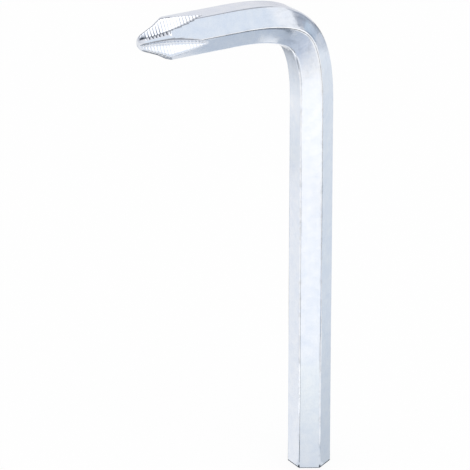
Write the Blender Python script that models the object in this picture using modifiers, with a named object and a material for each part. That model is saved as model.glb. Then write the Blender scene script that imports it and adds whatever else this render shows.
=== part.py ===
"""Offset screwdriver: one hexagon steel bar with a ribbed cross tip, bent square behind the tip.

Metres, +Z up. The origin is the centre of the long arm's end face. The long arm stands along +Z, the
short arm points along -X, and two of the bar's flats face along X on the long arm.
"""

from math import ceil, cos, pi, radians, sin, sqrt, tan

import bmesh
import bpy
from mathutils import Matrix, Vector

# The bar
ACROSS_FLATS = 0.0080
CORNER_RADIUS = 0.00035
END_CHAMFER = 0.0002

# The arms, each measured to the outer flat of the other
LONG_ARM = 0.1073
SHORT_ARM = 0.0455

# The bend, a Bezier curve. Its reach is how far from the crossing of the arms' axes each arm starts to
# turn. Its fullness is the length of the curve's handles as a share of the reach: 0.55 makes a plain arc,
# and more makes the middle of the bend tighter than its ends.
BEND_REACH = 0.0200
BEND_FULLNESS = 0.80
BEND_STEPS = 28
# At the middle of the bend, bending draws the hexagon's side corners outwards and its outer flat inwards.
# It also spreads the inner flat, and narrows the outer one by the same share.
SIDE_CORNER_DRIFT = 0.0007
OUTER_DRAW_IN = 0.0002
SIDEWAYS_SPREAD = 0.20

# The tip's outline, from its rounded point: a slow taper, then a steeper shoulder out to the hexagon
POINT_RADIUS = 0.00195
TAPER_ANGLE = radians(22.7)
TAPER_LENGTH = 0.0041
SHOULDER_ANGLE = radians(31.5)

# The four flutes, cut by a wheel with a square edge that runs out of the bar behind the tip
FLUTE_COUNT = 4
FLUTE_WHEEL_RADIUS = 0.0325
WING_THICKNESS = 0.0011
RIB_PITCH = 0.00066
RIB_DEPTH = 0.00008

# How finely round shapes are cut into flats
CORNER_STEPS = 3
TURNED_STEPS = 48
POINT_STEPS = 6
SMOOTH_ANGLE = radians(20)

# Worked out from the sizes above: the hexagon's corners from its axis, each arm along its axis to the
# crossing, and how far a cutter, or the blank's spare end, runs past what is cut
CORNER_REACH = ACROSS_FLATS / sqrt(3)
LONG_AXIS = LONG_ARM - ACROSS_FLATS / 2
SHORT_AXIS = SHORT_ARM - ACROSS_FLATS / 2
CUT_SPARE = ACROSS_FLATS / 8

STEEL_COLOUR = (0.78, 0.80, 0.84, 1.0)


def clear_scene():
    for obj in list(bpy.data.objects):
        bpy.data.objects.remove(obj, do_unlink=True)


def new_collection(name):
    collection = bpy.data.collections.new(name)
    bpy.context.scene.collection.children.link(collection)
    return collection


def satin_chrome():
    material = bpy.data.materials.new("satin_chrome_steel")
    material.use_nodes = True
    shader = material.node_tree.nodes["Principled BSDF"]
    shader.inputs["Base Color"].default_value = STEEL_COLOUR
    shader.inputs["Metallic"].default_value = 1.0
    shader.inputs["Roughness"].default_value = 0.3
    return material


def mesh_object(name, bm, collection):
    """A new object that holds what bm holds."""
    bmesh.ops.recalc_face_normals(bm, faces=bm.faces)
    mesh = bpy.data.meshes.new(name)
    bm.to_mesh(mesh)
    bm.free()
    obj = bpy.data.objects.new(name, mesh)
    collection.objects.link(obj)
    return obj


class Bend:
    """The bar's middle line through the bend, as frames a known length of bar apart."""

    def __init__(self):
        crossing = Vector((0, LONG_AXIS))
        up = Vector((0, BEND_REACH))
        out = Vector((-BEND_REACH, 0))
        self.hold = [
            crossing - up,
            crossing - up * (1 - BEND_FULLNESS),
            crossing + out * (1 - BEND_FULLNESS),
            crossing + out,
        ]
        self.frames = []
        along = LONG_AXIS - BEND_REACH
        last = self.hold[0]
        for step in range(BEND_STEPS + 1):
            place, heading = self.middle_line(step / BEND_STEPS)
            along += (place - last).length
            last = place
            self.frames.append((along, place, heading))
        self.start = self.frames[0][0]
        self.end = self.frames[-1][0]

    def middle_line(self, share):
        """Place and heading, in the XZ plane, at this share of the bend."""
        a, b, c, d = self.hold
        rest = 1 - share
        place = a * rest**3 + b * 3 * rest**2 * share + c * 3 * rest * share**2 + d * share**3
        heading = (b - a) * rest**2 + (c - b) * 2 * rest * share + (d - c) * share**2
        return place, heading.normalized()

    def frame_at(self, along):
        """Place and heading this far along the bar from its end face."""
        if along <= self.start:
            return Vector((0, along)), Vector((0, 1))
        if along >= self.end:
            return Vector((-BEND_REACH - (along - self.end), LONG_AXIS)), Vector((-1, 0))
        after = next(i for i, frame in enumerate(self.frames) if frame[0] >= along)
        low, place_low, heading_low = self.frames[after - 1]
        high, place_high, heading_high = self.frames[after]
        share = (along - low) / (high - low)
        return place_low.lerp(place_high, share), heading_low.lerp(heading_high, share)

    def carry(self, point):
        """Where a point of the straight blank lies once the bar is bent."""
        place, heading = self.frame_at(point.z)
        outward = Vector((heading.y, -heading.x))
        turned = abs(2 * heading.x * heading.y)
        level = point.x / (ACROSS_FLATS / 2)
        drift = SIDE_CORNER_DRIFT * (1 - level**2) - OUTER_DRAW_IN * max(level, 0) ** 2
        moved = place + outward * (point.x + drift * turned**2)
        spread = 1 - SIDEWAYS_SPREAD * turned * level
        return Vector((moved.x, point.y * spread, moved.y))


def hexagon_blank(length):
    """A straight length of hexagon bar, standing on z = 0 with two flats facing along X."""
    bm = bmesh.new()
    bmesh.ops.create_cone(
        bm,
        cap_ends=True,
        segments=6,
        radius1=CORNER_REACH,
        radius2=CORNER_REACH,
        depth=length,
        matrix=Matrix.Translation((0, 0, length / 2)),
    )
    long_edges = [e for e in bm.edges if abs(e.verts[0].co.z - e.verts[1].co.z) > length / 2]
    bmesh.ops.bevel(
        bm,
        geom=long_edges,
        offset=CORNER_RADIUS * tan(pi / 6),
        segments=CORNER_STEPS,
        profile=0.5,
        affect="EDGES",
    )
    end_edges = [e for e in bm.edges if max(e.verts[0].co.z, e.verts[1].co.z) < length / 2]
    bmesh.ops.bevel(bm, geom=end_edges, offset=END_CHAMFER, segments=1, affect="EDGES")
    return bm


def bent_bar(collection):
    """The bar cut to length, with room at the tip for the tip's outline, and bent."""
    bend = Bend()
    length = bend.end + SHORT_AXIS - BEND_REACH + CUT_SPARE
    bm = hexagon_blank(length)
    for along, _, _ in bend.frames:
        everything = bm.verts[:] + bm.edges[:] + bm.faces[:]
        bmesh.ops.bisect_plane(bm, geom=everything, plane_co=(0, 0, along), plane_no=(0, 0, 1))
    for vert in bm.verts:
        vert.co = bend.carry(vert.co)
    return mesh_object("driver_bar", bm, collection)


def tip_frame(collection):
    """An empty at the tip's point: its Z runs out along the short arm, its X through the middle of a flat."""
    across_flat = Vector((0, -cos(pi / 6), sin(pi / 6)))
    out = Vector((-1, 0, 0))
    turn = Matrix((across_flat, out.cross(across_flat), out)).transposed().to_4x4()
    empty = bpy.data.objects.new("tip_frame", None)
    empty.matrix_world = Matrix.Translation((-SHORT_AXIS, 0, LONG_AXIS)) @ turn
    empty.empty_display_size = ACROSS_FLATS
    collection.objects.link(empty)
    return empty


def as_cutter(obj, frame):
    obj.parent = frame
    obj.hide_render = True
    obj.display_type = "WIRE"
    return obj


def outline_cutter(frame, collection):
    """A turned sleeve that leaves the tip's rounded point, taper and shoulder."""
    wide = CORNER_REACH + CUT_SPARE
    neck = POINT_RADIUS * cos(TAPER_ANGLE)
    neck_back = POINT_RADIUS * (1 - sin(TAPER_ANGLE))
    shoulder = neck + (TAPER_LENGTH - neck_back) * tan(TAPER_ANGLE)
    shoulder_end = TAPER_LENGTH + (wide - shoulder) / tan(SHOULDER_ANGLE)
    profile = [(0, 2 * CUT_SPARE), (wide, 2 * CUT_SPARE), (wide, -shoulder_end), (shoulder, -TAPER_LENGTH)]
    for step in range(POINT_STEPS + 1):
        angle = (pi / 2 - TAPER_ANGLE) * (1 - step / POINT_STEPS)
        profile.append((POINT_RADIUS * sin(angle), POINT_RADIUS * (cos(angle) - 1)))

    bm = bmesh.new()
    verts = [bm.verts.new((across, 0, along)) for across, along in profile]
    for first, second in zip(verts, verts[1:]):
        bm.edges.new((first, second))
    mesh = bpy.data.meshes.new("outline_cutter")
    bm.to_mesh(mesh)
    bm.free()
    obj = bpy.data.objects.new("outline_cutter", mesh)
    collection.objects.link(obj)
    screw = obj.modifiers.new("Turned", "SCREW")
    screw.steps = TURNED_STEPS
    screw.render_steps = TURNED_STEPS
    screw.use_merge_vertices = True
    screw.merge_threshold = 0.000001
    return as_cutter(obj, frame)


def flute_cutter(index, frame, collection):
    """The part of a square-edged wheel that cuts one flute, with teeth that leave the ribs."""
    valley = WING_THICKNESS / 2 * sqrt(2)
    hub = FLUTE_WHEEL_RADIUS + valley
    depth = CORNER_REACH + CUT_SPARE
    run_out = sqrt(FLUTE_WHEEL_RADIUS**2 - (hub - CORNER_REACH - CUT_SPARE) ** 2)
    half_pitch = RIB_PITCH / 2 / FLUTE_WHEEL_RADIUS
    before = ceil(2 * CUT_SPARE / (RIB_PITCH / 2))
    after = ceil(run_out / (RIB_PITCH / 2))

    bm = bmesh.new()
    rings = []
    for step in range(-before, after + 1):
        angle = step * half_pitch
        edge = FLUTE_WHEEL_RADIUS + (RIB_DEPTH if step % 2 else 0)
        ring = []
        for back, side in ((0, 0), (depth, depth), (depth, -depth)):
            reach = edge - back
            ring.append(bm.verts.new((hub - reach * cos(angle), side, -reach * sin(angle))))
        rings.append(ring)
    for near, far in zip(rings, rings[1:]):
        for i in range(3):
            j = (i + 1) % 3
            bm.faces.new((near[i], near[j], far[j], far[i]))
    bm.faces.new(rings[0])
    bm.faces.new(rings[-1])

    obj = mesh_object(f"flute_cutter_{index + 1}", bm, collection)
    obj.rotation_euler.z = (index + 0.5) * 2 * pi / FLUTE_COUNT
    return as_cutter(obj, frame)


def cut(obj, cutter):
    modifier = obj.modifiers.new(cutter.name, "BOOLEAN")
    modifier.operation = "DIFFERENCE"
    modifier.solver = "EXACT"
    modifier.object = cutter


def main():
    clear_scene()
    parts = new_collection("offset_screwdriver")
    cutters = new_collection("cutters")
    frame = tip_frame(cutters)

    bar = bent_bar(parts)
    bar.data.materials.append(satin_chrome())
    cut(bar, outline_cutter(frame, cutters))
    for index in range(FLUTE_COUNT):
        cut(bar, flute_cutter(index, frame, cutters))
    bar.data.shade_smooth()
    bar.data.set_sharp_from_angle(angle=SMOOTH_ANGLE)


main()
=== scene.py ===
"""Looks of the offset screwdriver: the fine surface and finish of its bent hexagon bar, in a white studio.

Metres, +Z up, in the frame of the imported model. The long arm stands on the floor and the short arm, with the
ribbed cross tip, points along -X. A section of the bar is drawn round its axis, by an angle that is 0 in the
middle of the flat that faces the camera on the short arm and grows towards the top.
"""

from math import atan2, cos, pi, radians, sin, sqrt, tan

import bmesh
import bpy
import numpy as np
from mathutils import Matrix, Vector


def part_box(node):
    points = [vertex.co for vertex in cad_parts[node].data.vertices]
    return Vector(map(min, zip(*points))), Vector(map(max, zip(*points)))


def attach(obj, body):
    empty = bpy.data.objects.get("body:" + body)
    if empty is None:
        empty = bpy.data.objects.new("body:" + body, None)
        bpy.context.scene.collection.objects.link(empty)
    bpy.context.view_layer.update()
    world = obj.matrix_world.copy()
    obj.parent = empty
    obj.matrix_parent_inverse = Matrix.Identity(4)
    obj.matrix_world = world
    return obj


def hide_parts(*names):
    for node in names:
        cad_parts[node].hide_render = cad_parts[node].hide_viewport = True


MM = 0.001

# Half the angle that one flat of a hexagon takes up, and how far the flat at angle 0 is tilted up
HALF_SIDE = pi / 6
FLAT_TILT = pi / 6

# The bar's rounded corners, rounder where it is bent, and the small chamfer round its square-cut end
CORNER_RADIUS = 0.45 * MM
BENT_CORNER_RADIUS = 0.65 * MM
END_CHAMFER = 0.2 * MM

# The bend: how far from the crossing of the axes each arm starts to turn, and the share of that which the
# curve's handles take. Bending draws the hexagon's side corners outwards and its outer flat inwards, and it
# spreads the inner flat and narrows the outer one by the same share.
BEND_REACH = 20.0 * MM
BEND_FULLNESS = 0.80
SIDE_CORNER_DRIFT = 0.7 * MM
OUTER_DRAW_IN = 0.2 * MM
SIDEWAYS_SPREAD = 0.20

# The tip's outline: a rounded point, a slow taper, a steeper shoulder, and how softly they run together
POINT_RADIUS = 1.95 * MM
TAPER_ANGLE = radians(22.7)
TAPER_LENGTH = 4.1 * MM
SHOULDER_ANGLE = radians(31.5)
SHOULDER_SOFTNESS = 0.25 * MM

# The four flutes, cut by a square-edged wheel, and the ribs that the wheel leaves across them
WING_COUNT = 4
FLUTE_WHEEL_RADIUS = 32.5 * MM
WING_THICKNESS = 1.1 * MM
FLUTE_END = 15.5 * MM
VALLEY_RADIUS = 0.4 * MM
CREST_ROUNDING = 0.10 * MM
RIB_PITCH = 0.66 * MM
RIB_DEPTH = 0.018 * MM
RIB_SHARPNESS = 4

# Each groove between ribs also notches one half of its wing's crest, between these lengths from the point. On
# the way from the wing's middle to its edge, a notch starts at one share and is deep after another.
NOTCH_DEPTH = 0.24 * MM
NOTCH_FROM = 1.2 * MM
NOTCH_TO = 6.2 * MM
NOTCH_START = 0.1
NOTCH_RUN_IN = 0.25

# Painted shade on the tip, from 0 for clean plating to 1, with lengths from the point. In a flute that faces
# up it lies in the grooves between the ribs. There is more of it in the flute's bottom beside the notches, and
# more where the flute runs out of the bar, and close to the point it fills the bottom. A flute that faces down
# has the least share of it.
GROOVE_SHADE = 0.5
VALLEY_SHADE = 0.9
RUN_OUT_SHADE = 0.6
RUN_OUT_FROM = 7.6 * MM
RUN_OUT_FADE = 2.0 * MM
NOSE_SHADE_TO = 1.5 * MM
LEAST_SHARE = 0.12
# Painted shade in the notches, along the edges of flanks that face up, and along the edges of wings that point
# up, each scaled by how far the flank or wing does
NOTCH_SHADE = 1.2
EDGE_SHADE = 0.95
TOP_EDGE_SHADE = 1.045
TOP_EDGE_SHADE_TO = 9.0 * MM
TOP_EDGE_SHADE_FADE = 1.0 * MM
# Painted shade on flanks that face down, from their top to a share of their height
FLANK_SHADE = 1.0
FLANK_SHADE_TO = 13.5 * MM
FLANK_SHADE_FADE = 3.0 * MM
FLANK_SHADE_SHARE = 2 / 3
# Painted shade on the crests of wings that point down, and a darker tone all round the point
CREST_SHADE = 0.12
CREST_SHADE_TO = 14.5 * MM
CREST_SHADE_FADE = 7.0 * MM
POINT_DARKENING = 0.18
POINT_DARKENING_TO = 0.5 * MM

# How wide the plating is worn along the bar's corners, and the length behind the flutes where that sets in
WORN_WIDTH = 0.45 * MM
WORN_RUN_IN = FLUTE_END / 4

# How finely the surface is cut into faces
ROWS_PER_RIB = 12
POINT_ROWS = 18
SHORT_ARM_ROWS = 3
BEND_ROWS = 72
LONG_ARM_ROWS = 12
FLANK_COLUMNS = 7
VALLEY_COLUMNS = 6
ROUNDED_COLUMNS = 4
# Columns over a wing's crest, in degrees from its middle. Every other wing stands on a corner of the hexagon,
# and the rest stand on a flat, with a corner on each side. The corners' rounding has columns of its own.
CORNER_AT = 30
CORNER_WING_COLUMNS = [4, 6, 9, 13, 18, 24, 30, 37, 45]
FLAT_WING_COLUMNS = [0, 2, 4, 6, 9, 13, 18, 23]
PAST_CORNER_COLUMNS = [37, 45]
# Rings on the end face, as shares of its size
END_RINGS = (1, 0.7, 0.35, 0)
WELD = 0.004 * MM
# How often the search for a wing's edge is halved
HALVINGS = 40

# The camera, found by matching the bar's edges to the photograph, whose sides are 470 pixels. Its focal
# length is in pixels too, and its angles are in degrees.
IMAGE_SIDE = 470
CAMERA_FOCUS = 4216.5
CAMERA_AZIMUTH = -30.365
CAMERA_ELEVATION = 22.376
CAMERA_DISTANCE = 894.18 * MM
CAMERA_TARGET = Vector((0, 0, 50 * MM))
CAMERA_ASIDE = -15.994 * MM
CAMERA_RAISED = 2.588 * MM
SENSOR = 36.0

# The softbox in front of the bar and above it. Its brightness is what a mirror shows of it, where 1 is white.
LAMP_PLACE = Vector((0.04, -0.42, 0.63))
LAMP_SIDE = 0.36
LAMP_BRIGHTNESS = 0.90

# The floor lies just under the bar. A share of its tone is plain white, and the rest shows the bar's shadow.
FLOOR_REACH = 3.0
FLOOR_DROP = 0.05 * MM
FLOOR_WHITE = 0.88

# How far from the bend the standing cards are, with the strips in front of the others, and how far one layer
# of the cards on the floor lies above the next
CARD_DISTANCE = 500 * MM
STRIP_DISTANCE = 470 * MM
CARD_LAYER = 0.02 * MM

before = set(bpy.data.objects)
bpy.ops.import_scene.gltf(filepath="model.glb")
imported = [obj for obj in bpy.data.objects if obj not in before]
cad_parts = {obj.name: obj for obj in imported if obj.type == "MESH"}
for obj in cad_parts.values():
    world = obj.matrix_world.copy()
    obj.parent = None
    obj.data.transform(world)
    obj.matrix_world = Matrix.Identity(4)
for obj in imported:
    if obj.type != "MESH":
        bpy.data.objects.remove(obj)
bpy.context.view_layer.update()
bar_low, bar_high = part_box("driver_bar")

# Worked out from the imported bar
HALF_FLAT = bar_high.x
LONG_AXIS = bar_high.z - HALF_FLAT
SHORT_AXIS = -bar_low.x
CROSSING = np.array((0.0, LONG_AXIS))
BEND_PLACE = Vector((0, 0, LONG_AXIS))


def linear(hex_colour):
    """An sRGB hex colour as linear RGBA."""
    parts = [int(hex_colour[i : i + 2], 16) / 255 for i in (1, 3, 5)]
    return [p / 12.92 if p <= 0.04045 else ((p + 0.055) / 1.055) ** 2.4 for p in parts] + [1.0]


def add_node(tree, kind, inputs=None, **settings):
    """Adds one node. Its inputs are plain values, or other nodes' outputs to link."""
    made = tree.nodes.new("ShaderNode" + kind)
    for name, value in settings.items():
        setattr(made, name, value)
    for name, value in (inputs or {}).items():
        if isinstance(value, bpy.types.NodeSocket):
            tree.links.new(value, made.inputs[name])
        else:
            made.inputs[name].default_value = value
    return made


def new_material(name):
    """An empty node material and its output node."""
    material = bpy.data.materials.new(name)
    material.use_nodes = True
    material.node_tree.nodes.clear()
    return material, add_node(material.node_tree, "OutputMaterial")


def add_mesh(name, bm):
    """A new object that holds what bm holds."""
    mesh = bpy.data.meshes.new(name)
    bm.to_mesh(mesh)
    bm.free()
    obj = bpy.data.objects.new(name, mesh)
    bpy.context.scene.collection.objects.link(obj)
    return obj


def direction_at(azimuth, elevation):
    """The direction at this azimuth and elevation in degrees. Azimuth 0 is along -Y and 90 is along +X."""
    az, el = radians(azimuth), radians(elevation)
    return Vector((sin(az) * cos(el), -cos(az) * cos(el), sin(el)))


# The bar's middle line


def bend_line(share):
    """Place and heading in the XZ plane at these shares of the bend, a Bezier curve."""
    up = np.array((0, BEND_REACH))
    out = np.array((-BEND_REACH, 0))
    a = CROSSING - up
    b = CROSSING - up * (1 - BEND_FULLNESS)
    c = CROSSING + out * (1 - BEND_FULLNESS)
    d = CROSSING + out
    s = share[:, None]
    r = 1 - s
    place = a * r**3 + b * 3 * r * r * s + c * 3 * r * s * s + d * s**3
    heading = (b - a) * r * r + (c - b) * 2 * r * s + (d - c) * s * s
    return place, heading / np.linalg.norm(heading, axis=1)[:, None]


BEND_PLACES, BEND_HEADINGS = bend_line(np.linspace(0, 1, BEND_ROWS + 1))
BEND_STEPS = np.linalg.norm(np.diff(BEND_PLACES, axis=0), axis=1)
BEND_LENGTH = BEND_STEPS.sum()
BEND_START = SHORT_AXIS - BEND_REACH


# The bar's outline, by the length back from the tip's point


def soft_min(a, b, softness):
    """The smaller of a and b, rounded off where they are about equal."""
    near = np.maximum(softness - np.abs(a - b), 0) / softness
    return np.minimum(a, b) - near * near * softness / 4


def corner_radius(back):
    """The radius of the bar's corners."""
    from_middle = (back - BEND_START - BEND_LENGTH / 2) / (BEND_LENGTH / 2)
    return CORNER_RADIUS + (BENT_CORNER_RADIUS - CORNER_RADIUS) * np.maximum(1 - from_middle**2, 0)


def from_flat(angle):
    """The angle from the middle of the nearest flat."""
    return np.abs((angle + HALF_SIDE) % (2 * HALF_SIDE) - HALF_SIDE)


def rounding_start(radius):
    """The angle from the middle of a flat at which corners of this radius start."""
    return np.arctan((1 - radius / HALF_FLAT) * tan(HALF_SIDE))


def hexagon_reach(angle, radius):
    """From the axis to the hexagon with corners of this radius, at this angle from the middle of a flat."""
    folded = from_flat(angle)
    hub = (HALF_FLAT - radius) / cos(HALF_SIDE)
    off = np.minimum(hub * np.sin(HALF_SIDE - folded), radius)
    corner = hub * np.cos(HALF_SIDE - folded) + np.sqrt(radius**2 - off**2)
    return np.where(folded < rounding_start(radius), HALF_FLAT / np.cos(folded), corner)


def turned_reach(back):
    """From the axis to the tip's turned outline."""
    neck_back = POINT_RADIUS * (1 - sin(TAPER_ANGLE))
    dome = np.sqrt(np.maximum(2 * POINT_RADIUS * back - back * back, 0))
    taper = POINT_RADIUS * cos(TAPER_ANGLE) + (back - neck_back) * tan(TAPER_ANGLE)
    shoulder = np.maximum(back - TAPER_LENGTH, 0) * (tan(SHOULDER_ANGLE) - tan(TAPER_ANGLE))
    return np.where(back < neck_back, dome, taper + shoulder)


def outer_reach(back, angle):
    """From the axis to the bar's surface, before the flutes are cut."""
    return soft_min(hexagon_reach(angle, corner_radius(back)), turned_reach(back), SHOULDER_SOFTNESS)


# The ribs, notches and painted shade of the tip, by the length back from its point


def rib_groove(back):
    """1 in the middle of each groove between two ribs, falling to 0 on the ribs."""
    return ((1 + np.cos(2 * pi * back / RIB_PITCH)) / 2) ** RIB_SHARPNESS


def fading(back, end, fade):
    """1 near the point, falling to 0 at the end over the length of the fade."""
    return np.clip((end - back) / fade, 0, 1)


def between(back, low, high):
    """1 between these lengths, falling to 0 within a rib's width inside them."""
    return np.clip((back - low) / RIB_PITCH, 0, 1) * fading(back, high, RIB_PITCH)


def crest_notch(back, share):
    """How deep a wing's notched half is cut, at this share of the way from its middle to its edge."""
    run_in = np.clip((share - NOTCH_START) / NOTCH_RUN_IN, 0, 1)
    return NOTCH_DEPTH * between(back, NOTCH_FROM, NOTCH_TO) * rib_groove(back) * run_in


def flute_dirt(back, share):
    """The painted shade in a flute that faces up, at this share of the way from the wing's edge to the bottom.
    """
    beside_notches = between(back, NOTCH_FROM, NOTCH_TO) * (GROOVE_SHADE + VALLEY_SHADE * share**3)
    run_out = RUN_OUT_SHADE * np.clip((back - RUN_OUT_FROM) / RUN_OUT_FADE, 0, 1)
    in_grooves = np.maximum(GROOVE_SHADE, np.maximum(beside_notches, run_out)) * rib_groove(back)
    return np.maximum(in_grooves, between(back, 0, NOSE_SHADE_TO + RIB_PITCH) * share**2)


def edge_dirt(back, wing_up, flank_up):
    """The painted shade along a wing's edge, by how far the wing points up and how far its flank faces up. The
    flank counts only where it faces up by over 30 degrees."""
    near_point = fading(back, TOP_EDGE_SHADE_TO, TOP_EDGE_SHADE_FADE)
    return np.maximum(EDGE_SHADE * (2 * flank_up - 1), TOP_EDGE_SHADE * max(wing_up, 0) * near_point)


def flank_dirt(back, flank_up):
    """The painted shade at the top of a flank that faces down."""
    return FLANK_SHADE * max(-flank_up, 0) * fading(back, FLANK_SHADE_TO, FLANK_SHADE_FADE)


def crest_dirt(back, wing_up):
    """A darker tone all round the point, and painted shade on the crest of a wing that points down."""
    on_point = POINT_DARKENING * fading(back, POINT_DARKENING_TO, POINT_DARKENING_TO)
    return np.maximum(on_point, CREST_SHADE * max(-wing_up, 0) * fading(back, CREST_SHADE_TO, CREST_SHADE_FADE))


# The sections of the bar


def wing_half(back):
    """From a wing's middle plane to its flank. The wheel is nearest to the axis at the tip's point."""
    hub = FLUTE_WHEEL_RADIUS + WING_THICKNESS / 2 * sqrt(2)
    behind = np.minimum(back, FLUTE_WHEEL_RADIUS)
    return (hub - np.sqrt(FLUTE_WHEEL_RADIUS**2 - behind * behind)) / sqrt(2)


def crest_edge(back, wing, side, half):
    """The angle from a wing's middle plane at which its flank meets the bar's surface, at most 45 degrees."""
    low = np.zeros_like(back)
    high = np.full_like(back, pi / 4)
    for _ in range(HALVINGS):
        middle = (low + high) / 2
        inside = outer_reach(back, wing + side * middle) * np.sin(middle) < half
        low = np.where(inside, middle, low)
        high = np.where(inside, high, middle)
    return high


def half_wing(back, wing, side, stops):
    """One side of one wing, as points along it and across it with a row for each station, and their painted
    shade.

    The columns run from the wing's middle over its crest, down its flank and to the middle of the flute.
    Where there is no flute the last columns fall together, and are welded afterwards.
    """
    half = wing_half(back) - RIB_DEPTH * rib_groove(back)
    edge = crest_edge(back, wing, side, half)
    reach = outer_reach(back, wing + side * edge)
    edge_along = reach * np.cos(edge)
    edge_across = reach * np.sin(edge)
    spare = np.maximum(edge_along - half, 0)
    rounding = np.minimum(CREST_ROUNDING, spare / 3)
    last = edge - np.minimum(rounding / np.maximum(reach, WELD), edge / 2)
    notched = side > 0

    # How far the wing, its flank and its flute face up, which sets the painted shade on them
    wing_up = sin(wing + FLAT_TILT)
    flank_up = sin(wing + FLAT_TILT + side * pi / 2)
    flute_up = sin(wing + FLAT_TILT + side * pi / 4)
    on_edge = (spare > 0) * edge_dirt(back, wing_up, flank_up)
    on_flank = flank_dirt(back, flank_up)
    in_flute = (spare > 0) * max(flute_up, LEAST_SHARE)

    along, across, dirt = [], [], []
    for stop in stops:
        angle = np.minimum(radians(stop), last)
        notch = crest_notch(back, angle / last) if notched else np.zeros_like(back)
        crest = outer_reach(back, wing + side * angle) - notch
        along.append(crest * np.cos(angle))
        across.append(crest * np.sin(angle))
        in_notch = np.sqrt(notch / NOTCH_DEPTH) * min(max(NOTCH_SHADE * flank_up, 0), 1)
        on_crest = np.maximum(in_notch, crest_dirt(back, wing_up))
        dirt.append(np.maximum(on_crest, on_edge * (radians(stop) > last)))

    if notched:
        edge_along = edge_along - crest_notch(back, 1)
    flank_top = edge_along - rounding
    along.append((along[-1] + 2 * edge_along + flank_top) / 4)
    across.append((across[-1] + 3 * edge_across) / 4)
    dirt.append(np.maximum(np.maximum(in_flute * flute_dirt(back, 0), on_edge), on_flank))

    fillet = np.minimum(VALLEY_RADIUS, spare / 2)
    flank_foot = np.minimum(half + fillet, flank_top)
    for share in np.linspace(0, 1, FLANK_COLUMNS):
        along.append(flank_top + (flank_foot - flank_top) * share)
        across.append(edge_across)
        below_edge = on_flank * max(1 - share / FLANK_SHADE_SHARE, 0)
        dirt.append(np.maximum(in_flute * flute_dirt(back, share), below_edge))
    for turn in np.linspace(0, pi / 4, VALLEY_COLUMNS + 1)[1:]:
        along.append(flank_foot - fillet * sin(turn))
        across.append(edge_across + fillet * (1 - cos(turn)))
        dirt.append(in_flute * flute_dirt(back, 1))
    return np.stack(along, 1), np.stack(across, 1), np.stack(dirt, 1)


def crest_stops():
    """The columns over the crest of a wing on a flat and of one on a corner, in degrees from its middle."""
    tangent = CORNER_AT - np.degrees(rounding_start(CORNER_RADIUS))
    rounded = [tangent * step / ROUNDED_COLUMNS for step in range(ROUNDED_COLUMNS + 1)]
    before = [CORNER_AT - r for r in rounded[:0:-1]]
    after = [CORNER_AT + r for r in rounded]
    on_flat = FLAT_WING_COLUMNS + before + after + PAST_CORNER_COLUMNS
    return on_flat, rounded + CORNER_WING_COLUMNS


def sections(back):
    """The bar's outline at each station, as points outwards from the bend and along Y, and their painted
    shade.
    """
    stops = crest_stops()
    outward, aside, dirt = [], [], []
    for number in range(WING_COUNT):
        wing = number * 2 * pi / WING_COUNT
        for side in (-1, 1):
            along, across, half_dirt = half_wing(back, wing, side, stops[number % 2])
            order = slice(None, 0, -1) if side < 0 else slice(None)
            direction = wing + FLAT_TILT
            x = along * sin(direction) + side * across * cos(direction)
            y = -along * cos(direction) + side * across * sin(direction)
            outward.append(x[:, order])
            aside.append(y[:, order])
            dirt.append(half_dirt[:, order])
    return np.concatenate(outward, 1), np.concatenate(aside, 1), np.concatenate(dirt, 1)


def stations():
    """Every row of the bar: its place and heading, its length back from the tip, and its scale."""
    dome = POINT_RADIUS * (1 - np.cos(np.linspace(0, pi / 2 - TAPER_ANGLE, POINT_ROWS + 1)))
    ribs = np.arange(dome[-1], FLUTE_END, RIB_PITCH / ROWS_PER_RIB)[1:]
    plain = np.linspace(FLUTE_END, BEND_START, SHORT_ARM_ROWS + 1)[:-1]
    tip_back = np.concatenate([dome, ribs, plain])
    bend_back = BEND_START + np.concatenate([[0], np.cumsum(BEND_STEPS[::-1])])
    shank = LONG_AXIS - BEND_REACH
    long_arm = np.linspace(shank, END_CHAMFER, LONG_ARM_ROWS + 1)[1:]
    long_heights = np.concatenate([long_arm, np.zeros(len(END_RINGS))])
    back = np.concatenate([tip_back, bend_back, bend_back[-1] + shank - long_heights])
    scale = np.ones(len(back))
    scale[-len(END_RINGS) :] = np.array(END_RINGS) * (1 - END_CHAMFER / HALF_FLAT)

    tip_place = np.stack([tip_back - SHORT_AXIS, np.full_like(tip_back, LONG_AXIS)], 1)
    long_place = np.stack([np.zeros_like(long_heights), long_heights], 1)
    place = np.concatenate([tip_place, BEND_PLACES[::-1], long_place])
    tip_heading = np.tile((-1.0, 0.0), (len(tip_back), 1))
    long_heading = np.tile((0.0, 1.0), (len(long_heights), 1))
    heading = np.concatenate([tip_heading, BEND_HEADINGS[::-1], long_heading])
    return place, heading, back, scale


# The bar's surface


def bend_share(heading):
    """0 on the arms, rising to 1 in the middle of the bend."""
    return np.abs(2 * heading[:, :1] * heading[:, 1:])


def worn_share(back, angle):
    """1 on the bar's corners, falling to 0 beside them and on the tip."""
    from_corner = (HALF_SIDE - from_flat(angle - FLAT_TILT)) * HALF_FLAT
    behind_flutes = np.clip((back - FLUTE_END) / WORN_RUN_IN, 0, 1)[:, None]
    return behind_flutes * np.clip(1 - from_corner / WORN_WIDTH, 0, 1)


def carried(outward, aside, place, heading):
    """The points of the sections along the bar's middle line, where bending pulls them out of shape."""
    turned = bend_share(heading)
    level = outward / HALF_FLAT
    drift = SIDE_CORNER_DRIFT * (1 - level**2) - OUTER_DRAW_IN * np.maximum(level, 0) ** 2
    shift = outward + drift * turned**2
    x = place[:, :1] + shift * heading[:, 1:]
    y = aside * (1 - SIDEWAYS_SPREAD * turned * level)
    z = place[:, 1:] - shift * heading[:, :1]
    return np.stack([x, y, z], 2)


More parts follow.
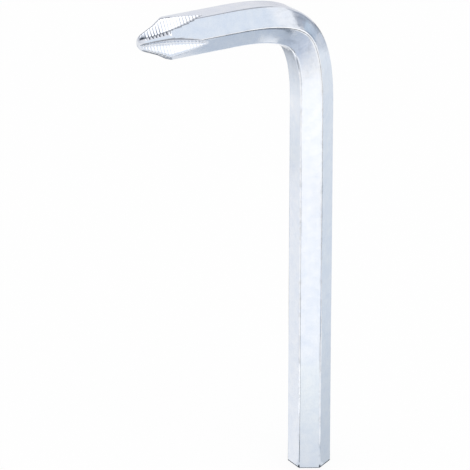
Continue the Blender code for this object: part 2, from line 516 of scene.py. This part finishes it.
def bar_surface():
    """The bar's fine surface, lofted through all its sections, with a map of its surface in millimetres."""
    place, heading, back, scale = stations()
    outward, aside, dirt = sections(back)
    angle = np.arctan2(outward, -aside)
    points = carried(outward * scale[:, None], aside * scale[:, None], place, heading)
    bend = np.broadcast_to(bend_share(heading), angle.shape)
    masks = {"dirt": dirt, "corner": worn_share(back, angle), "bend": bend}
    perimeter = 6 * 2 * HALF_FLAT * tan(HALF_SIDE)
    around = np.unwrap(np.concatenate([angle, angle[:, :1]], 1), axis=1) / (2 * pi) * perimeter

    bm = bmesh.new()
    for name in masks:
        bm.verts.layers.float.new(name)
    surface_map = bm.loops.layers.uv.new("bar_mm")
    grid = [[bm.verts.new(p) for p in row] for row in points]
    for name, values in masks.items():
        layer = bm.verts.layers.float[name]
        for verts, row in zip(grid, values):
            for vert, value in zip(verts, row):
                vert[layer] = value
    rows, columns = angle.shape
    for i in range(rows - 1):
        for j in range(columns):
            k = (j + 1) % columns
            face = bm.faces.new((grid[i][j], grid[i][k], grid[i + 1][k], grid[i + 1][j]))
            face.smooth = True
            corners = ((i, j), (i, j + 1), (i + 1, j + 1), (i + 1, j))
            for loop, (row, column) in zip(face.loops, corners):
                loop[surface_map].uv = (around[row, column] / MM, back[row] / MM)
    bmesh.ops.remove_doubles(bm, verts=bm.verts, dist=WELD)
    bmesh.ops.recalc_face_normals(bm, faces=bm.faces)
    return bm


# Materials


def streaks(tree, surface, width, length, detail, roughness=0.5):
    """Noise with grains of this width around the bar and this length along it, in millimetres."""
    sized = add_node(tree, "Mapping", {"Vector": surface, "Scale": (1 / width, 1 / length, 1)})
    noise = add_node(
        tree,
        "TexNoise",
        {"Vector": sized.outputs["Vector"], "Scale": 1.0, "Detail": detail, "Roughness": roughness},
    )
    return noise.outputs["Fac"]


def plating_tint(tree, surface, bend):
    """The plating's colour, with painted shade on the tip."""
    place = add_node(tree, "TexCoord").outputs["Object"]
    corner = add_node(tree, "Attribute", attribute_name="corner").outputs["Fac"]
    # Painted shade on the tip, kept on the bar's mesh
    dirt = add_node(tree, "Attribute", attribute_name="dirt").outputs["Fac"]

    # Clouds in the plating, from about 2 mm across down to a fine mottle
    clouds = add_node(
        tree, "TexNoise", {"Vector": place, "Scale": 1 / (2 * MM), "Detail": 5.0, "Roughness": 0.6}
    )
    cloud_share = add_node(
        tree, "MapRange", {"Value": clouds.outputs["Fac"], "From Min": 0.3, "From Max": 0.7}
    )
    tint = add_node(
        tree,
        "Mix",
        {"Factor": cloud_share.outputs["Result"], "A": linear("#EDF1F8"), "B": linear("#F8F9FB")},
        data_type="RGBA",
    )

    # Worn stretches of the arms' corners, about 3 mm long with specks in them
    wear = streaks(tree, surface, width=2.0, length=3.0, detail=6.0, roughness=0.7)
    wear_share = add_node(
        tree, "MapRange", {"Value": wear, "From Min": 0.48, "From Max": 0.68, "To Max": 0.32}
    )
    straight = add_node(tree, "Math", {0: 1.0, 1: bend}, operation="SUBTRACT")
    bare = add_node(tree, "Math", {0: corner, 1: straight.outputs["Value"]}, operation="MULTIPLY")
    worn = add_node(
        tree, "Math", {0: wear_share.outputs["Result"], 1: bare.outputs["Value"]}, operation="MULTIPLY"
    )

    # Rub marks along the bend, about 2.5 mm long and 1.2 mm wide
    rubs = streaks(tree, surface, width=1.2, length=2.5, detail=4.0)
    rub_share = add_node(
        tree, "MapRange", {"Value": rubs, "From Min": 0.5, "From Max": 0.75, "To Max": 0.24}
    )
    rubbed = add_node(tree, "Math", {0: rub_share.outputs["Result"], 1: bend}, operation="MULTIPLY")

    # The last stain is painted shade on the tip: dark in its grooves, notches and flute bottoms, and on
    # flanks, edges and crests by how they face
    stains = ((worn.outputs["Value"], "#6E747D"), (rubbed.outputs["Value"], "#6E747D"), (dirt, "#4F5762"))
    for share, colour in stains:
        tint = add_node(
            tree,
            "Mix",
            {"Factor": share, "A": tint.outputs["Result"], "B": linear(colour)},
            data_type="RGBA",
        )
    return tint.outputs["Result"]


def plating_relief(tree, surface, bend):
    """The plating's roughness, and its normals."""
    # Lines drawn along the bar, about 0.25 mm apart, coarser than real ones so that they show
    lines = streaks(tree, surface, width=0.25, length=14.0, detail=3.0)
    roughness = add_node(
        tree,
        "MapRange",
        {"Value": lines, "From Min": 0.3, "From Max": 0.7, "To Min": 0.10, "To Max": 0.16},
    )
    drawn = add_node(tree, "Bump", {"Height": lines, "Strength": 0.12, "Distance": 0.01 * MM})

    # Wrinkles across the bend, about 1.2 mm apart
    wrinkles = streaks(tree, surface, width=5.0, length=1.2, detail=2.0)
    wrinkled = add_node(
        tree,
        "Bump",
        {"Height": wrinkles, "Strength": bend, "Distance": 0.03 * MM, "Normal": drawn.outputs["Normal"]},
    )
    return roughness.outputs["Result"], wrinkled.outputs["Normal"]


def satin_chrome():
    """Drawn steel bar, satin chrome plated: a bright, cool white metal with a soft sheen, fine lines drawn
    along the bar, faint clouds of blue and lilac in the plating, corners worn darker here and there, wrinkles
    from the bending, and painted shade in the grooves and on the flanks and crests of the tip."""
    material, output = new_material("satin_chrome_plated_steel")
    tree = material.node_tree
    surface = add_node(tree, "UVMap", uv_map="bar_mm").outputs["UV"]
    bend = add_node(tree, "Attribute", attribute_name="bend").outputs["Fac"]
    roughness, normal = plating_relief(tree, surface, bend)
    shader = add_node(
        tree,
        "BsdfPrincipled",
        {
            "Base Color": plating_tint(tree, surface, bend),
            "Metallic": 1.0,
            "Roughness": roughness,
            "Normal": normal,
        },
    )
    tree.links.new(shader.outputs["BSDF"], output.inputs["Surface"])
    return material


def studio_floor_paint():
    """Matt white paint: a plain floor that the camera sees as white, with the bar's soft shadow on it."""
    material, output = new_material("matt_white_floor_paint")
    tree = material.node_tree
    paint = add_node(tree, "BsdfDiffuse", {"Color": linear("#F5F5F5")})
    white = add_node(tree, "Emission", {"Color": linear("#FFFFFF"), "Strength": 1.0})
    path = add_node(tree, "LightPath").outputs
    mirrored = add_node(
        tree, "Math", {0: path["Is Glossy Ray"], 1: path["Is Transmission Ray"]}, operation="MAXIMUM"
    )
    seen = add_node(
        tree, "Math", {0: path["Is Camera Ray"], 1: mirrored.outputs["Value"]}, operation="MAXIMUM"
    )
    share = add_node(tree, "Math", {0: seen.outputs["Value"], 1: FLOOR_WHITE}, operation="MULTIPLY")
    mixed = add_node(
        tree,
        "MixShader",
        {"Fac": share.outputs["Value"], 1: paint.outputs["BSDF"], 2: white.outputs["Emission"]},
    )
    tree.links.new(mixed.outputs["Shader"], output.inputs["Surface"])
    return material


# The cards, which give the faces of the bar their different tones


def reflector_card(name, bm, near_colour, far_colour=None, brightness=1.0):
    """A card that only the bar's reflections show, of one colour, or going to another along its own X."""
    card = add_mesh(name, bm)
    material, output = new_material(name + "_paint")
    tree = material.node_tree
    glow = add_node(tree, "Emission", {"Color": linear(near_colour), "Strength": brightness})
    if far_colour:
        along = add_node(tree, "SeparateXYZ", {"Vector": add_node(tree, "TexCoord").outputs["Generated"]})
        colour = add_node(
            tree,
            "Mix",
            {"Factor": along.outputs["X"], "A": linear(near_colour), "B": linear(far_colour)},
            data_type="RGBA",
        )
        tree.links.new(colour.outputs["Result"], glow.inputs["Color"])
    tree.links.new(glow.outputs["Emission"], output.inputs["Surface"])
    card.data.materials.append(material)
    card.visible_camera = False
    card.visible_diffuse = False
    card.visible_shadow = False
    card.visible_transmission = False
    return card


def unit_square():
    bm = bmesh.new()
    bmesh.ops.create_grid(bm, x_segments=1, y_segments=1, size=0.5)
    return bm


def facing(direction):
    """The turn that makes a flat card face along this direction."""
    return direction.to_track_quat("Z", "Y").to_matrix().to_4x4()


def standing_card(name, azimuth, elevation, width, height, colour, brightness=1.0):
    """A card that faces the bend from this direction, its size given as angles in degrees."""
    direction = direction_at(azimuth, elevation)
    across = 2 * CARD_DISTANCE * tan(radians(width / 2))
    upright = 2 * CARD_DISTANCE * tan(radians(height / 2))
    place = Matrix.Translation(BEND_PLACE + direction * CARD_DISTANCE)
    size = Matrix.Diagonal((across, upright, 1, 1))
    card = reflector_card(name, unit_square(), colour, brightness=brightness)
    card.matrix_world = place @ facing(direction) @ size


def strip_card(name, route, width, colour):
    """A card that runs past the bend through these azimuths and elevations, its width an angle in degrees."""
    half = STRIP_DISTANCE * tan(radians(width / 2))
    directions = [direction_at(*stop) for stop in route]
    bm = bmesh.new()
    sides = []
    for i, direction in enumerate(directions):
        run = directions[min(i + 1, len(route) - 1)] - directions[max(i - 1, 0)]
        across = direction.cross(run).normalized() * half
        centre = BEND_PLACE + direction * STRIP_DISTANCE
        sides.append((bm.verts.new(centre - across), bm.verts.new(centre + across)))
    for (a, b), (c, d) in zip(sides, sides[1:]):
        bm.faces.new((a, b, d, c))
    reflector_card(name, bm, colour)


def floor_card(name, start, end, width, layer, near_colour, far_colour=None, brightness=1.0):
    """A card on the floor from start to end, in millimetres. A card on a higher layer lies on the others."""
    first, last = Vector(start) * MM, Vector(end) * MM
    run = last - first
    place = Matrix.Translation(((first + last) / 2).to_3d() + Vector((0, 0, layer * CARD_LAYER)))
    turn = Matrix.Rotation(atan2(run.y, run.x), 4, "Z")
    size = Matrix.Diagonal((run.length, width * MM, 1, 1))
    card = reflector_card(name, unit_square(), near_colour, far_colour, brightness)
    card.matrix_world = place @ turn @ size


def wedge_card(name, azimuth, spread, near, far, layer, near_colour, far_colour):
    """A card on the floor that spreads out, by an angle in degrees, from the long arm's front left corner.
    It starts and ends at these lengths from the corner, in millimetres."""
    slope = tan(radians(spread / 2))
    bm = bmesh.new()
    ends = ((near, -1), (far, -1), (far, 1), (near, 1))
    bm.faces.new([bm.verts.new((along * MM, side * slope * along * MM, 0)) for along, side in ends])
    card = reflector_card(name, bm, near_colour, far_colour)
    corner = Vector((-HALF_FLAT, -HALF_FLAT * tan(HALF_SIDE), layer * CARD_LAYER))
    card.matrix_world = Matrix.Translation(corner) @ Matrix.Rotation(radians(azimuth - 90), 4, "Z")


def ramp_card(name, start, end, width, colour):
    """A sloping card from start to end, in millimetres."""
    first, last = Vector(start) * MM, Vector(end) * MM
    run = last - first
    along = run.normalized()
    across = Vector((0, 0, 1)).cross(along).normalized()
    turn = Matrix((along, across, along.cross(across))).transposed().to_4x4()
    size = Matrix.Diagonal((run.length, width * MM, 1, 1))
    card = reflector_card(name, unit_square(), colour)
    card.matrix_world = Matrix.Translation((first + last) / 2) @ turn @ size


def upright_card(name, foot, azimuth, width, height, colour):
    """A card that stands on the floor and faces this azimuth, its place and size in millimetres."""
    place = Matrix.Translation(Vector((*foot, height / 2)) * MM)
    size = Matrix.Diagonal((width * MM, height * MM, 1, 1))
    card = reflector_card(name, unit_square(), colour)
    card.matrix_world = place @ facing(direction_at(azimuth, 0)) @ size


def foot_card(name, growth, layer, colour):
    """A dark card under the end of the long arm, larger than the end by this factor: a painted shadow of the
    foot that the bar's reflections show.
    """
    bm = bmesh.new()
    bmesh.ops.create_circle(bm, cap_ends=True, segments=6, radius=growth * HALF_FLAT / cos(HALF_SIDE))
    reflector_card(name, bm, colour).location.z = layer * CARD_LAYER


def build_standing_cards():
    """Cards that stand round the bend, from the highest to the lowest, and strips in front of them, which
    give the dark lines on the outside of the bend."""
    standing_card("grey_card_above", 85, 62, 40, 30, "#A4A9B3")
    standing_card("pale_card_right", 38, 32, 20, 26, "#E4ECF6")
    standing_card("bright_card_right", 57, 29, 22, 20, "#F6F9FE")
    standing_card("blue_card_front", -15, 24, 58, 21, "#E6EEF8")
    standing_card("blue_card_right", 83, 8, 16, 26, "#BFCEDF")
    standing_card("grey_card_right", 70, 4, 12, 24, "#A8B0BD")
    standing_card("blue_grey_card_right", 93.5, 2.5, 6, 13, "#C2CDDB")
    standing_card("lilac_card_behind", 145, 2, 34, 20, "#DEDFE5")
    standing_card("white_card_right", 43, -2, 36, 26, "#FFFFFF", 1.15)
    standing_card("dark_card_outer", 112, -2, 22, 14, "#7C8087")
    standing_card("pale_blue_card_right", 95, -7, 14, 6, "#CDD4DF")
    standing_card("pale_blue_card_lower", 95, -12.5, 14, 5, "#D3DAE4")
    strip_card("dark_strip_upper", ((69, 29), (73, 26.5), (80, 22.5), (89, 17.5)), 5, "#A1A9B7")
    strip_card("dark_strip_right", ((89, 17.5), (95, 10), (98, 2), (98, -3)), 4, "#929AA8")
    strip_card("dark_strip_inner", ((66, 22), (74, 14), (81, 6), (87, -3), (90, -8)), 3, "#7C8593")


def build_floor_cards():
    """Cards on the floor: to the right of the bar, in front of it, and behind it."""
    floor_card("foot_card_right", (-4, 0), (85, 0), 24, 2, "#C4CCD5", "#D8E0E9")
    floor_card("far_card_right", (85, 0), (600, 0), 260, 1, "#D8E0E9", "#F2F7FC")
    floor_card("line_card_near", (33, -50), (62, -105), 16, 4, "#7F8895")
    floor_card("line_card_far", (62, -105), (160, -290), 50, 4, "#4E5560")

    floor_card("light_card_bend", (20, -40), (29.5, -24), 9, 5, "#F4F7FB")
    floor_card("bend_card_near", (32, -12), (20, -62), 44, 3, "#BEC9D7", "#B0BAC8")
    floor_card("bend_card_front", (20, -62), (-8, -104), 50, 2, "#B9C3D1", "#C9D2E1")
    floor_card("bend_card_far", (-8, -104), (-66, -166), 46, 1, "#C9D2E1", "#FFFFFF")
    floor_card("dark_card_bend", (-4, -57), (-24, -71), 16, 3, "#23272E")
    floor_card("foot_card_front", (-1, -2), (-28, -52), 12, 4, "#DCE2EA", "#F8FDFF")
    floor_card("white_card_front", (-28, -52), (-150, -265), 60, 0, "#EBEFF5", "#FFFFFF", 1.14)

    floor_card("pale_card_left", (0, 0), (-115, 196), 70, 1, "#EFF2F7")
    floor_card("dark_card_inner", (22, 102), (-16, 84), 34, 3, "#23272E")
    floor_card("grey_card_behind", (45, 116), (-112, 180), 44, 2, "#959BA5", "#E9EEF4")
    floor_card("dark_card_behind", (40, 215), (185, 215), 84, 2, "#70767F")


def build_near_cards():
    """Cards under the short arm and round the long arm's foot, mostly for the line along the bar's front
    left edge, and a painted shadow under the foot."""
    ramp_card("dark_card_slope", (-22, 6, 67.6), (-50, 6, 56), 36, "#A9B0BA")
    floor_card("white_card_bend", (-31, -6), (-58, -3), 28, 2, "#FFFFFF", brightness=1.45)
    wedge_card("dark_wedge_foot", -51, 34, 0.6, 13, 6, "#4A5059", "#6A717B")
    wedge_card("dark_wedge_edge", -45, 18, 2, 190, 5, "#4A5059", "#D0D6DE")
    upright_card("pale_card_foot", (6, -15), 30, 18, 25, "#F4F6FA")
    # A painted shadow of the foot: a dark card under it, since the floor shows the bar's shadow only faintly
    # in reflections
    foot_card("foot_shadow_card", 1.07, 6, "#4A5058")


# The studio


def build_floor():
    bm = bmesh.new()
    bmesh.ops.create_grid(bm, x_segments=1, y_segments=1, size=FLOOR_REACH)
    floor = add_mesh("floor", bm)
    floor.location.z = -FLOOR_DROP
    floor.data.materials.append(studio_floor_paint())


def build_world():
    """White to the camera and to the floor, and a little darker in the bar's reflections."""
    world = bpy.data.worlds.new("white_studio")
    bpy.context.scene.world = world
    world.use_nodes = True
    tree = world.node_tree
    tree.nodes.clear()
    path = add_node(tree, "LightPath")
    colour = add_node(
        tree,
        "Mix",
        {"Factor": path.outputs["Is Glossy Ray"], "A": linear("#FFFFFF"), "B": linear("#E7E8ED")},
        data_type="RGBA",
    )
    sky = add_node(tree, "Background", {"Color": colour.outputs["Result"], "Strength": 1.0})
    output = add_node(tree, "OutputWorld")
    tree.links.new(sky.outputs["Background"], output.inputs["Surface"])


def build_lamp():
    lamp = bpy.data.lights.new("front_softbox", "AREA")
    lamp.shape = "SQUARE"
    lamp.size = LAMP_SIDE
    lamp.energy = LAMP_BRIGHTNESS * pi * LAMP_SIDE**2
    softbox = bpy.data.objects.new("front_softbox", lamp)
    softbox.location = LAMP_PLACE
    softbox.rotation_euler = (BEND_PLACE - LAMP_PLACE).to_track_quat("-Z", "Y").to_euler()
    bpy.context.scene.collection.objects.link(softbox)


def build_camera():
    back = direction_at(CAMERA_AZIMUTH, CAMERA_ELEVATION)
    right = direction_at(CAMERA_AZIMUTH + 90, 0)
    up = back.cross(right)
    camera = bpy.data.objects.new("camera", bpy.data.cameras.new("camera"))
    turn = Matrix((right, up, back)).transposed().to_4x4()
    place = CAMERA_TARGET + right * CAMERA_ASIDE + up * CAMERA_RAISED + back * CAMERA_DISTANCE
    camera.matrix_world = Matrix.Translation(place) @ turn
    camera.data.sensor_width = SENSOR
    camera.data.lens = CAMERA_FOCUS * SENSOR / IMAGE_SIDE
    bpy.context.scene.collection.objects.link(camera)
    bpy.context.scene.camera = camera


def build_bar():
    bar = add_mesh("chromed_bar", bar_surface())
    bar.data.materials.append(satin_chrome())
    normals = bar.modifiers.new("Flat faces stay flat", "WEIGHTED_NORMAL")
    normals.keep_sharp = True
    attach(bar, "root")
    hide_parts("driver_bar")


build_bar()
build_floor()
build_world()
build_camera()
build_standing_cards()
build_floor_cards()
build_near_cards()
build_lamp()
bpy.context.scene.view_settings.view_transform = "Standard"
